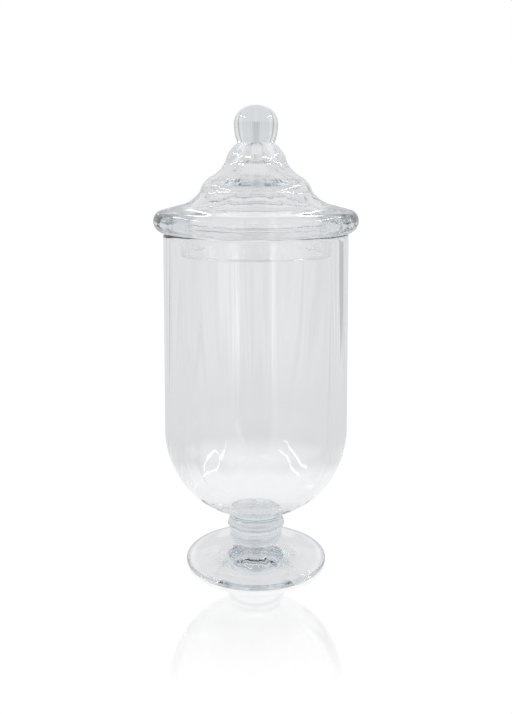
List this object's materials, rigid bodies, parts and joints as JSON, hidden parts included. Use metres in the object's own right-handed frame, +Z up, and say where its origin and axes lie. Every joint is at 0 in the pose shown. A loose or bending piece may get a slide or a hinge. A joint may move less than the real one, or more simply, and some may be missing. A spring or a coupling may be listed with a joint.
{
  "type": "footed apothecary jar",
  "caption": "Tall clear glass apothecary jar on a round foot and ringed stem, with a stepped lift-off lid and ball knob.",
  "frame": {"origin": "middle of the foot's underside, on the surface the jar stands on", "axes": "+Z up along the jar's axis of revolution, towards the knob; X and Y are equal"},
  "size_m": [0.1582, 0.1582, 0.36],
  "materials": {
    "clear_glass": "clear, fire polished, faintly rippled by hand working"
  },
  "bodies": {
    "jar": {"foot": "clear_glass", "lower_stem_ring": "clear_glass", "upper_stem_ring": "clear_glass", "bowl": "clear_glass"},
    "lid": {"lid_cover": "clear_glass", "lid_collar": "clear_glass", "knob": "clear_glass"}
  },
  "joints": [
    {"name": "lid_lift", "type": "slide", "parent": "jar", "child": "lid", "axis": [0, 0, 1], "range_m": [0, 0.2]}
  ]
}
